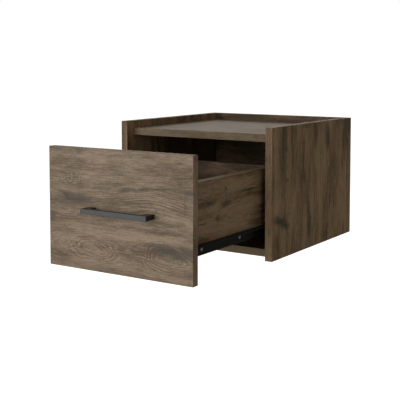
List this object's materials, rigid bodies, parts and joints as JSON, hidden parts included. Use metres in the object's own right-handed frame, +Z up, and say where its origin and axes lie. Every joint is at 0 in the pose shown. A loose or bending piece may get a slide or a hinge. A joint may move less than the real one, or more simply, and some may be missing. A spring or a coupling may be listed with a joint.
{
  "type": "floating nightstand",
  "caption": "Wall-hung nightstand in dark woodgrain boards: open top tray, cabinet, and one drawer with a black bar handle on roller slides.",
  "frame": {"origin": "middle of the back panel's rear face, which lies on the wall", "axes": "+Y points into the wall, +Z up, +X to the right seen from the front; the drawer comes out towards -Y"},
  "size_m": [0.36, 0.63, 0.256],
  "materials": {
    "front_decor": "matte woodgrain melamine, lighter, grain across",
    "side_decor": "matte woodgrain melamine, dark, grain upright",
    "shelf_decor": "matte woodgrain melamine, grain across",
    "box_decor": "matte woodgrain melamine, dark, grain lengthways",
    "hardboard": "thin hardboard with a plain printed face",
    "beech": "raw turned beech",
    "black_steel": "black powder coat on folded sheet steel",
    "handle_black": "satin black coat",
    "nylon": "moulded black nylon",
    "zinc": "zinc plated"
  },
  "bodies": {
    "cabinet": {"back_panel": "side_decor", "back_screw_bottom_left": "zinc", "back_screw_bottom_right": "zinc", "back_screw_shelf_left": "zinc", "back_screw_shelf_right": "zinc", "bottom_bolt_left": "zinc", "bottom_bolt_right": "zinc", "bottom_cam_left": "zinc", "bottom_cam_right": "zinc", "bottom_panel": "shelf_decor", "cabinet_rail_axle_left": "zinc", "cabinet_rail_axle_right": "zinc", "cabinet_rail_left": "black_steel", "cabinet_rail_right": "black_steel", "cabinet_rail_screw_left_front": "zinc", "cabinet_rail_screw_left_rear": "zinc", "cabinet_rail_screw_right_front": "zinc", "cabinet_rail_screw_right_rear": "zinc", "shelf_bolt_left_front": "zinc", "shelf_bolt_left_rear": "zinc", "shelf_bolt_right_front": "zinc", "shelf_bolt_right_rear": "zinc", "shelf_cam_left_front": "zinc", "shelf_cam_left_rear": "zinc", "shelf_cam_right_front": "zinc", "shelf_cam_right_rear": "zinc", "side_panel_left": "side_decor", "side_panel_right": "side_decor", "top_shelf": "shelf_decor"},
    "drawer": {"drawer_back": "box_decor", "drawer_back_screw_left_lower": "zinc", "drawer_back_screw_left_upper": "zinc", "drawer_back_screw_right_lower": "zinc", "drawer_back_screw_right_upper": "zinc", "drawer_bolt_left": "zinc", "drawer_bolt_right": "zinc", "drawer_bottom": "hardboard", "drawer_cam_left": "zinc", "drawer_cam_right": "zinc", "drawer_dowel_left": "beech", "drawer_dowel_right": "beech", "drawer_front": "front_decor", "drawer_rail_axle_left": "zinc", "drawer_rail_axle_right": "zinc", "drawer_rail_left": "black_steel", "drawer_rail_right": "black_steel", "drawer_rail_screw_left_front": "zinc", "drawer_rail_screw_left_rear": "zinc", "drawer_rail_screw_right_front": "zinc", "drawer_rail_screw_right_rear": "zinc", "drawer_side_left": "box_decor", "drawer_side_right": "box_decor", "handle": "handle_black", "handle_screw_left": "zinc", "handle_screw_right": "zinc"},
    "cabinet_roller_left": {"cabinet_roller_left": "nylon"},
    "cabinet_roller_right": {"cabinet_roller_right": "nylon"},
    "drawer_roller_left": {"drawer_roller_left": "nylon"},
    "drawer_roller_right": {"drawer_roller_right": "nylon"}
  },
  "joints": [
    {"name": "drawer_slide", "type": "slide", "parent": "cabinet", "child": "drawer", "axis": [0, -1, 0], "range_m": [-0.244, 0.006]},
    {"name": "cabinet_roller_left_spin", "type": "hinge", "parent": "cabinet", "child": "cabinet_roller_left", "pos_m": [-0.1584, -0.332, -0.0702], "axis": [1, 0, 0], "continuous": true},
    {"name": "cabinet_roller_right_spin", "type": "hinge", "parent": "cabinet", "child": "cabinet_roller_right", "pos_m": [0.1584, -0.332, -0.0702], "axis": [1, 0, 0], "continuous": true},
    {"name": "drawer_roller_left_spin", "type": "hinge", "parent": "drawer", "child": "drawer_roller_left", "pos_m": [-0.1577, -0.304, -0.06915], "axis": [1, 0, 0], "continuous": true},
    {"name": "drawer_roller_right_spin", "type": "hinge", "parent": "drawer", "child": "drawer_roller_right", "pos_m": [0.1577, -0.304, -0.06915], "axis": [1, 0, 0], "continuous": true}
  ],
  "couplings": [
    {"joint": "cabinet_roller_left_spin", "follows": "drawer_slide", "rad_per_m": 117.65},
    {"joint": "cabinet_roller_right_spin", "follows": "drawer_slide", "rad_per_m": 117.65},
    {"joint": "drawer_roller_left_spin", "follows": "drawer_slide", "rad_per_m": 104.71},
    {"joint": "drawer_roller_right_spin", "follows": "drawer_slide", "rad_per_m": 104.71}
  ]
}
